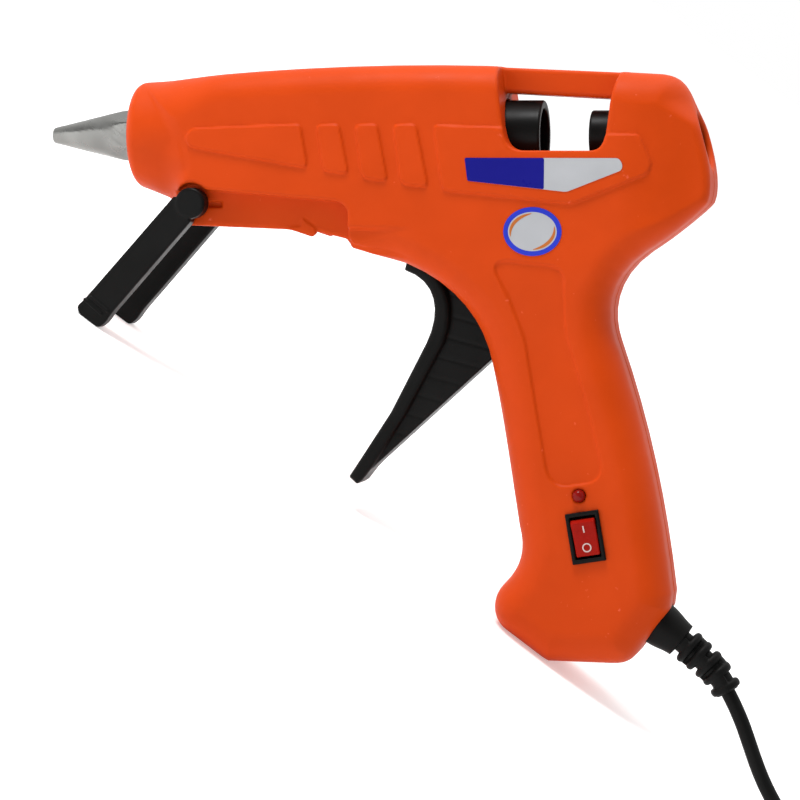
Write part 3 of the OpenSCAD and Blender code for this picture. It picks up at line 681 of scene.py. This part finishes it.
def make_rear_guide():
    """The stick's guide: a tube with a collar, opened out at both ends."""
    g = Lattice((165, -9.5, -9.5), (193, 9.5, 9.5), 0.32)
    around = np.hypot(g.y, g.v)
    solid = slab(abs(g.u - 179.1) - 12.7, around - 7.5, 0.5)
    solid = join(solid, slab(abs(g.u - 181.1) - 0.9, around - 8.2, 0.3), 0.3)
    flare = 0.9 * ramp(g.u, 189, 192)
    lead_in = 0.5 * (1 - ramp(g.u, 166, 168))
    solid = cut(solid, around - 6 - flare - lead_in, 0.3)
    return skin("rear_guide", g, solid, "housing", "black_plastic", ["rear_guide"])


# ---------------------------------------------------------------- trigger and stand
# The finger rim, front and back, and the web behind it
TRIGGER = [(111.8, -37.4), (111.2, -40), *bez((111.2, -40), (121, -43), (122.5, -52), (118, -61.5)),
           (107.3, -82.4), (94.6, -102), (97, -104.2), (98.6, -103.2), (101.7, -99.2),
           (112, -83), (123.5, -61.5),
           *bez((123.5, -61.5), (128, -50), (124, -40), (113.5, -36.6))]
TRIGGER_WEB = [(117, -41.5), (123, -50), (119.6, -61), (108.8, -83), (99.5, -98), (101.7, -99.2),
               (138.6, -65.3), *bez((138.6, -65.3), (141, -57), (136, -42), (125, -34))]
LINE_PITCH, LINE_DEPTH = 6.5, 0.16


def make_trigger():
    g = Lattice((92, -7.5, -106), (141, 7.5, -9), 0.42)
    rim = slab(polygon(TRIGGER, g.u, g.v), g.s - 6.2, 1.5)
    # Fine lines across the web
    off = abs((g.v + 62 + 0.25 * (g.u - 120)) % LINE_PITCH - LINE_PITCH / 2)
    lines = LINE_DEPTH * np.clip(1 - off / 0.5, 0, 1)
    web = slab(polygon(TRIGGER_WEB, g.u, g.v), g.s - 4.4 + lines, 0.6)
    solid = join(rim, web, 0.8)
    solid = join(solid, slab(disc(g, *TRIGGER_PIN, 5), g.s - 4.4, 0.4), 0.5)
    (a, b), (c, d) = TRIGGER_PIN, DRIVE
    arm = polygon([(a - 3, b), (c - 3, d), (c - 1.5, d + 2.1), (c + 1.5, d + 2.1), (c + 3, d),
                   (a + 4.5, b)], g.u, g.v)
    solid = join(solid, slab(arm, g.s - 3, 0.4), 0.5)
    solid = cut(solid, disc(g, *TRIGGER_PIN, 2.1), 0.3)
    solid = cut(solid, disc(g, *DRIVE, 1.5), 0.3)
    return skin("trigger", g, solid, "trigger", "black_plastic", ["trigger"], keep=0.6)


LEG = [(43.7, -18.2), (22.1, -42.2), (15.8, -49.2), (13.2, -51.6), (13.8, floor_v(13.8)),
       (19.8, floor_v(19.8)), (22, -56.6), (24.6, -53.1), (49.0, -25.7)]
LEG_Y, LEG_HW = 15.5, 2.7
# Two fine ridges across the outer face, above the foot
RIDGES = [((15.5, -49.6), (21.0, -54.2)), ((17.4, -49.0), (23.1, -53.4))]


def make_leg(name, sign):
    """One leg of the stand, with its foot, its ridges and the proud boss on the axle."""
    near, far = sorted((12 * sign, 19.5 * sign))
    g = Lattice((11, near, -58), (55, far, -14), 0.33)
    out = sign * g.y
    solid = slab(polygon(rounded(LEG, 0.9), g.u, g.v), abs(out - LEG_Y) - LEG_HW, 0.7)
    for (a, b), (c, d) in RIDGES:
        line = polygon([(a, b), (c, d), (c + 0.3, d + 0.5), (a + 0.3, b + 0.5)], g.u, g.v)
        solid = join(solid, slab(line - 0.16, abs(out - 17) - 1.62, 0.2), 0.15)
    solid = join(solid, slab(disc(g, *AXLE, 4.6), abs(out - 15.65) - 2.85, 0.8), 0.3)
    solid = cut(solid, np.maximum(disc(g, *AXLE, 2.5), out - 16.8))
    return skin(name, g, solid, "stand", "black_plastic", [name])


# ---------------------------------------------------------------- switch and lamp
# The rocker's section as (depth in the gun, along the switch), and its pivot's depth
ROCKER = [(-1, -5.5), (-1.15, -2.5), (-1.3, 0.2), (-1.75, 2.4), (-2.6, 4.5), (-1.5, 5.35),
          (1.2, 5.5), (2.6, 0), (2.6, -5.2)]
ROCKER_PIVOT = 1.2


def make_switch_body():
    """The switch's frame and its hollow body behind it."""
    g = Lattice((160, -17.6, -127), (177, -4, -107), 0.24)
    x, y, z = switch_axes(g)
    solid = slab(np.maximum(abs(x) - 5, abs(z) - 7.5), abs(y + 0.6) - 0.6, 0.4)
    behind = np.maximum(np.maximum(abs(x) - 4.3, abs(z) - 6.6), abs(y - 5.25) - 5.25)
    hollow = np.maximum(np.maximum(abs(x) - 3.8, abs(z) - 6.2), abs(y - 2) - 4)
    solid = cut(np.minimum(solid, behind), hollow, 0.25)
    solid = cut(solid, np.maximum(np.hypot(y - ROCKER_PIVOT, z) - 0.9, abs(x) - 4.1))
    return skin("switch_body", g, solid, "housing", "black_plastic", ["switch_body"])


def make_rocker():
    g = Lattice((161, -18.8, -125), (175, -11, -109), 0.22)
    x, y, z = switch_axes(g)
    solid = slab(polygon(ROCKER, y, z), abs(x) - 3.55, 0.35)
    pivot = np.maximum(np.hypot(y - ROCKER_PIVOT, z) - 0.8, abs(x) - 4)
    return skin("switch_rocker", g, np.minimum(solid, pivot), "rocker", "rocker_red",
                ["switch_rocker"])


def switch_point(x, y, z):
    """The gun's point for a place given in switch_axes."""
    return (SWITCH[0] + x * math.cos(SWITCH_LEAN) - z * math.sin(SWITCH_LEAN), y - GRIP_HW,
            SWITCH[1] + x * math.sin(SWITCH_LEAN) + z * math.cos(SWITCH_LEAN))


def band(shape, low, high):
    """Faces between two rings of as many points; either may be a single point."""
    for k in range(max(len(low), len(high))):
        j = k + 1
        quad = [low[k % len(low)], low[j % len(low)], high[j % len(high)], high[k % len(high)]]
        shape.faces.new([q for i, q in enumerate(quad) if q not in quad[:i]])


def film(name, loops, depth, place, body, slot, nodes, material):
    """A thin raised shape: one outline is filled, and two bound a ring, the outer one first.
    place puts (x, z, height) in the gun."""
    shape = bmesh.new()
    rows = [[shape.verts.new(to_row([place(x, z, h)])[0]) for x, z in loop]
            for h in (0, depth) for loop in loops]
    if len(loops) == 1:
        shape.faces.new(rows[1])
        shape.faces.new(rows[0][::-1])
        pairs = [(0, 1)]
    else:
        pairs = [(2, 3), (1, 0), (0, 2), (3, 1)]
    for low, high in pairs:
        band(shape, rows[low], rows[high])
    bmesh.ops.recalc_face_normals(shape, faces=shape.faces)
    return settle(linked(name + "_piece", mesh_from(name, shape)), body, slot, nodes, [material])


def loft(name, rows, sharp, body, slot, nodes):
    """A closed skin over rows of points, each a ring or one point. Edges over sharp stay hard."""
    shape = bmesh.new()
    rows = [[shape.verts.new(point) for point in row] for row in rows]
    for low, high in zip(rows, rows[1:]):
        band(shape, low, high)
    for end in (rows[0][::-1], rows[-1]):
        if len(end) > 1:
            shape.faces.new(end)
    bmesh.ops.recalc_face_normals(shape, faces=shape.faces)
    for face in shape.faces:
        face.smooth = len(face.verts) <= 4
    for edge in shape.edges:
        edge.smooth = edge.calc_face_angle(0) < math.radians(sharp)
    return settle(linked(name + "_piece", mesh_from(name, shape)), body, slot, nodes)


def lathe(name, profile, place, body, slot, nodes, world=to_row, around=48):
    """A turned shape; its profile is (radius, distance along) and place puts it in the gun."""
    rows = [[world([place(r, t, 2 * math.pi * k / around)])[0] for k in range(around if r else 1)]
            for r, t in profile]
    return loft(name, rows, 40, body, slot, nodes)


def oval(a, b, n=72):
    turns = [math.radians(360 * i / n) for i in range(n)]
    return [(a * math.cos(w), b * math.sin(w)) for w in turns]


def crescent(a, b, width, start, stop, n=24):
    """A band inside an ellipse, tapered to both ends."""
    turns = [(math.radians(start + (stop - start) * i / n), 0.12 + math.sin(math.pi * i / n) ** 0.7)
             for i in range(n + 1)]
    return ([(a * math.cos(w), b * math.sin(w)) for w, _ in turns]
            + [((a - width * k) * math.cos(w), (b - width * k) * math.sin(w))
               for w, k in turns[::-1]])


def make_marks():
    """The generic on and off marks, which lie on the rocker's two slopes."""
    def on_top(x, z, h):
        return switch_point(x, -1.31 - 0.19 * (z - 0.2) - 0.2 * max(0, z - 2.4) - h, z)

    def on_bottom(x, z, h):
        return switch_point(x, -1.13 - 0.06 * z - h, z - 3.0)

    film("rocker_mark_on", [[(-0.2, 1.5), (0.2, 1.5), (0.2, 3.5), (-0.2, 3.5)]], 0.14, on_top,
         "rocker", "rocker_red", [], MARK_WHITE)
    film("rocker_mark_off", [oval(1.35, 1.35), oval(1.0, 1.0)], 0.14, on_bottom, "rocker",
         "rocker_red", [], MARK_WHITE)


def make_lamp():
    profile = [(0, -17.75), (0.6, -17.66), (1.15, -17.4), (1.6, -16.95), (1.85, -16.4),
               (1.9, -15.8), (1.9, -9), (0, -9)]

    def place(r, t, w):
        return LAMP[0] + r * math.cos(w), t, LAMP[1] + r * math.sin(w)

    lathe("indicator_led", profile, place, "housing", "led_red", ["indicator_led"])


# ---------------------------------------------------------------- label and sticker
LABEL = rounded([(131.7, -6.9), (176.9, -6.9), (178.1, -8.7), (177.8, -10.4), (161.8, -16.7),
                 (132.6, -13.6)], 0.8)
SPLIT_U, LABEL_Y, STICKER = 155.2, -17.8, (151.8, -28.2)
# How far the films' undersides lie in the shell, and the half axes of the sticker and its ring
SUNK = 0.03
STICKER_OUT, STICKER_IN = (8.6, 7.1), (7.2, 5.7)


def make_labels():
    """The rating label and the inspection sticker, with their colours and no print."""
    def on_panel(x, z, h):
        return x, LABEL_Y + SUNK - h, z

    def on_side(x, z, h):
        return STICKER[0] + x, SUNK - BODY_HW - h, STICKER[1] + z

    film("rating_label", [LABEL], 0.2, on_panel, "housing", "label_film", ["rating_label"],
         FINISH["label_film"])
    blue = rounded([(131.7, -6.9), (SPLIT_U, -6.9), (SPLIT_U, -15.95), (132.6, -13.6)], 0.5)
    film("rating_label_blue", [blue], 0.24, on_panel, "housing", "label_film", [], LABEL_BLUE)
    film("inspection_sticker", [oval(*STICKER_OUT)], 0.2, on_side, "housing", "sticker_film",
         ["inspection_sticker"], FINISH["sticker_film"])
    film("sticker_ring", [oval(*STICKER_OUT), oval(*STICKER_IN)], 0.24, on_side, "housing",
         "sticker_film", [], RING_BLUE)
    film("sticker_oval", [oval(*STICKER_IN)], 0.22, on_side, "housing", "sticker_film", [],
         OVAL_GREY)
    for name, start in (("upper", 92), ("lower", -88)):
        film("sticker_arc_" + name, [crescent(6.8, 5.3, 0.9, start, start + 105)], 0.26, on_side,
             "housing", "sticker_film", [], ARC_BROWN)


# ---------------------------------------------------------------- strain relief
# The middle line outside the housing, how far it starts inside, the end of the plain sleeve, and
# the radius under the slots
RELIEF_LINE = [(194.8, -148.6), (202.4, -155), (206.2, -159.2), (208.5, -163.2)]
RELIEF_IN, SLEEVE_END, CORE_R = 5, 8.6, 3.3


def relief_radius(w):
    """The flange inside the housing, then a tapered sleeve, then the rings."""
    if w < -2.3:
        return 8.0
    if w < SLEEVE_END:
        return 6.7 - 1.3 * ramp(w, 0, 8.3)
    return 5.35 - 0.04 * (w - SLEEVE_END)


def make_strain_relief(around=72):
    """A smooth sleeve, then rings with slots between them, bent with the cord."""
    start = (RELIEF[0] - RELIEF_IN * math.cos(RELIEF_DOWN),
             RELIEF[1] + RELIEF_IN * math.sin(RELIEF_DOWN))
    path = smooth_line([(x, 0, z) for x, z in (start, RELIEF, *RELIEF_LINE)], 0.25)
    way = np.r_[0, np.cumsum(np.linalg.norm(np.diff(path, axis=0), axis=1))] - RELIEF_IN
    rings = [11.2, 14.9, 18.6, 22.3, way[-1] - 1.6]
    rows = []
    for i, (p, w) in enumerate(zip(path, way)):
        d = path[min(i + 1, len(path) - 1)] - path[max(i - 1, 0)]
        d /= np.linalg.norm(d)
        up = np.array([-d[2], 0, d[0]])
        full = relief_radius(w)
        near = min(abs(w - ring) for ring in rings)
        ridge = math.sqrt(max(0, 1 - (near / 1.35) ** 2)) ** 0.7 if w > 8.3 else 1
        # Bridges join the rings, at the sides and at top and bottom by turns
        gap = sum(w > ring for ring in rings)
        row = []
        for k in range(around):
            a = 2 * math.pi * k / around
            side = abs(math.sin(a)) if gap % 2 else abs(math.cos(a))
            bridge = 0.8 * ramp(side, 0.84, 0.92) * (gap < len(rings))
            r = CORE_R + (full - CORE_R) * max(ridge, bridge)
            row.append(to_row([p + r * (math.cos(a) * np.array([0, 1, 0]) + math.sin(a) * up)])[0])
        rows.append(row)
    return loft("strain_relief", rows, 38, "housing", "black_rubber", ["strain_relief"])


# ---------------------------------------------------------------- plug and tie, row frame in mm
PLUG_X, PLUG_Z, BOOT_X = 318.4, 7, 292.4
PIN_Y, PIN_R = 9.3, 2
TIE_X, TIE_W = 217.4, 8


def to_metres(points):
    return np.asarray(points, float).reshape(-1, 3) * MM


def to_mm(points):
    return np.asarray(points, float).reshape(-1, 3) / MM


def make_plug():
    """A flat two-pin plug with finger hollows, and a ribbed boot on the cord."""
    g = Lattice((BOOT_X - 1.5, -18, -1), (PLUG_X + 11.5, 18, 15), 0.36)
    x, z = g.u - PLUG_X, g.v - PLUG_Z
    waist = 9.6 - 4.6 * (1 - ramp(x, -14, 2))
    section = np.hypot(np.maximum(g.s - waist, 0), z) - 6.8 + 1.3 * (1 - ramp(x, -14, 0))
    solid = slab(abs(x + 1) - 11, section, 1.6)
    solid = cut(solid, np.maximum(np.hypot(x + 1, g.y) - 7, 5.9 - abs(z)), 0.6)
    ribs = 0.35 * np.cos((x + 26) * 2 * math.pi / 2.4) * (x < -13)
    boot = np.maximum(np.hypot(g.y, z) - 3.6 - 1.6 * (x + 26) / 14.5 - ribs, abs(x + 18.5) - 7.4)
    solid = join(solid, boot, 2.0)
    return skin("plug_body", g, solid, "housing", "black_rubber", ["plug_body"], world=to_metres,
                back=to_mm)


def make_pins():
    """The plug's two round pins."""
    profile = [(0, 0), (PIN_R, 0), (PIN_R, 17.4), (1.7, 18.4), (1.1, 19), (0, 19)]

    def place(y):
        return lambda r, t, w: (PLUG_X + 10 + t, y + r * math.cos(w), PLUG_Z + r * math.sin(w))

    return [lathe(f"plug_pin_{n}", profile, place(y), "housing", "plated_steel", ["plug_pins"],
                  world=to_metres) for n, y in ((1, -PIN_Y), (2, PIN_Y))]


def make_tie():
    """A strap round the hank, with its end lapped over on top."""
    g = Lattice((TIE_X - 1.5, -23.5, -1), (TIE_X + TIE_W + 1.5, 23.5, 21), 0.3)
    loop = slab(g.s - 21.8, abs(g.v - 9.6) - 9.2, 3.0)
    across = abs(g.u - TIE_X - TIE_W / 2) - TIE_W / 2
    strap = slab(across, abs(loop) - TIE_T / 2, 0.25)
    lap = np.maximum(abs(loop - 0.35) - 0.3, np.maximum(abs(g.y + 8) - 9, 9 - g.v))
    solid = np.minimum(strap, slab(across, lap, 0.2))
    return skin("cord_tie", g, solid, "housing", "tie_grey", ["cord_tie"], world=to_metres,
                back=to_mm)


on_the_lead = [make_plug(), *make_pins(), make_tie()]
make_nozzle()
make_carriage()
make_rear_guide()
make_trigger()
make_leg("stand_leg_left", -1)
make_leg("stand_leg_right", 1)
make_switch_body()
make_rocker()
make_marks()
make_lamp()
make_labels()
make_strain_relief()

# ---------------------------------------------------------------- leads inside, and the spring
LEADS = {
    "heater_lead_live": ("lead_red", 1, [
        (87.4, 6, -13.6), (90, 7.6, -13.8), (96, 11.6, -14.8), (103, 12.6, -17.5), (118, 12.8, -21),
        (138, 12.6, -25), (149, 11.6, -36), (154.6, 10.6, -52), (158.4, 10, -72), (161, 9, -94),
        (165, 7, -107), (168.4, 4, -112.6), (168.6, 1.1, -113.2)]),
    "heater_lead_neutral": ("lead_white", 1, [
        (87.6, 3, -15.2), (90.5, 5.4, -15.6), (98, 9, -18.5), (104, 10.4, -22), (118, 11.2, -25.4),
        (136, 12, -27.5), (146, 11.2, -38), (151, 10.4, -54), (155, 10, -74), (158, 9.4, -96),
        (160.4, 9, -116), (165.4, 6.4, -127.4), (172.6, 1.4, -133)]),
    "switch_lead": ("lead_red", 0.9, [
        (168.9, 1.1, -120.6), (169, 3, -121.2), (170, 3.4, -123.8), (171.4, 1, -128),
        (172.9, -1.3, -132.4)])}
SPRING_R, SPRING_TURNS, SPRING_Y, SPRING_WIRE = 3.4, 3, 5, 0.4


def make_spring():
    """The trigger's return spring: a coil round its pin, with a leg at each end."""
    u, v = TRIGGER_PIN
    line = [(u + SPRING_R, SPRING_Y, v - z) for z in (6, 3)]
    line += [(u + SPRING_R * math.cos(w), SPRING_Y + w / 2 / math.pi, v + SPRING_R * math.sin(w))
             for w in np.linspace(0, 2 * math.pi * SPRING_TURNS, 24 * SPRING_TURNS)]
    line += [(u + SPRING_R, SPRING_Y + SPRING_TURNS, v + z) for z in (4, 9)]
    curve_piece("trigger_spring", to_row(line), SPRING_WIRE * MM, "trigger", "plated_steel",
                ["trigger_spring"])


for name, (slot, radius, route) in LEADS.items():
    curve_piece(name, to_row(smooth_line(route, 1.5)), radius * MM, "housing", slot, [name])
make_spring()

# The CAD nodes that still show get the finish of their slot
for part in frame["record"]["subparts"]:
    node = frame["nodes"][part["node"]]
    node.data.materials.clear()
    node.data.materials.append(FINISH[part["material_slot"]])


# ---------------------------------------------------------------- studio
FLOOR_HALF, FLOOR_GLOW = 9, 0.36
LOOK_AT = (0, 0, 0.08)


def make_stage():
    """A wide pale floor, which gives off some light as the photo's white background does."""
    shape = bmesh.new()
    corners = ((-1, -1), (1, -1), (1, 1), (-1, 1))
    shape.faces.new([shape.verts.new((x * FLOOR_HALF, y * FLOOR_HALF, 0)) for x, y in corners])
    floor = linked("floor", mesh_from("floor", shape))
    paint = finish_of("floor_paint", (0.9, 0.9, 0.9), 0.8, grain=2, bump=0.01, blotch=0.005,
                      spec=0.1)
    glow = paint.node_tree.nodes["Principled BSDF"].inputs
    glow["Emission Color"].default_value = (1, 1, 1, 1)
    glow["Emission Strength"].default_value = FLOOR_GLOW
    floor.data.materials.append(paint)


def area_light(name, place, size, power):
    """A round soft light aimed at the gun."""
    data = bpy.data.lights.new(name, "AREA")
    data.shape = "DISK"
    data.size, data.energy = size, power
    light = linked(name, data)
    light.location = place
    light.rotation_euler = (Vector(LOOK_AT) - Vector(place)).to_track_quat("-Z", "Y").to_euler()


def make_world():
    """White behind the gun and above it, and dimmer towards its left side."""
    world = bpy.data.worlds.new("studio")
    bpy.context.scene.world = world
    world.use_nodes = True
    tree = world.node_tree
    way = tree.nodes.new("ShaderNodeSeparateXYZ")
    tree.links.new(tree.nodes.new("ShaderNodeTexCoord").outputs["Generated"], way.inputs["Vector"])
    back = tree.nodes["Background"]
    back.inputs["Color"].default_value = (1, 1, 1, 1)
    strength = remap(tree, way.outputs["Y"], -0.8, 0.3, 0.3, 1)
    tree.links.new(strength, back.inputs["Strength"])


make_stage()
make_world()
area_light("key", (-0.72, -0.38, 1.0), 0.4, 13)
area_light("top", (-0.2, 0.25, 1.1), 0.7, 3)
bpy.context.scene.view_settings.view_transform = "Standard"
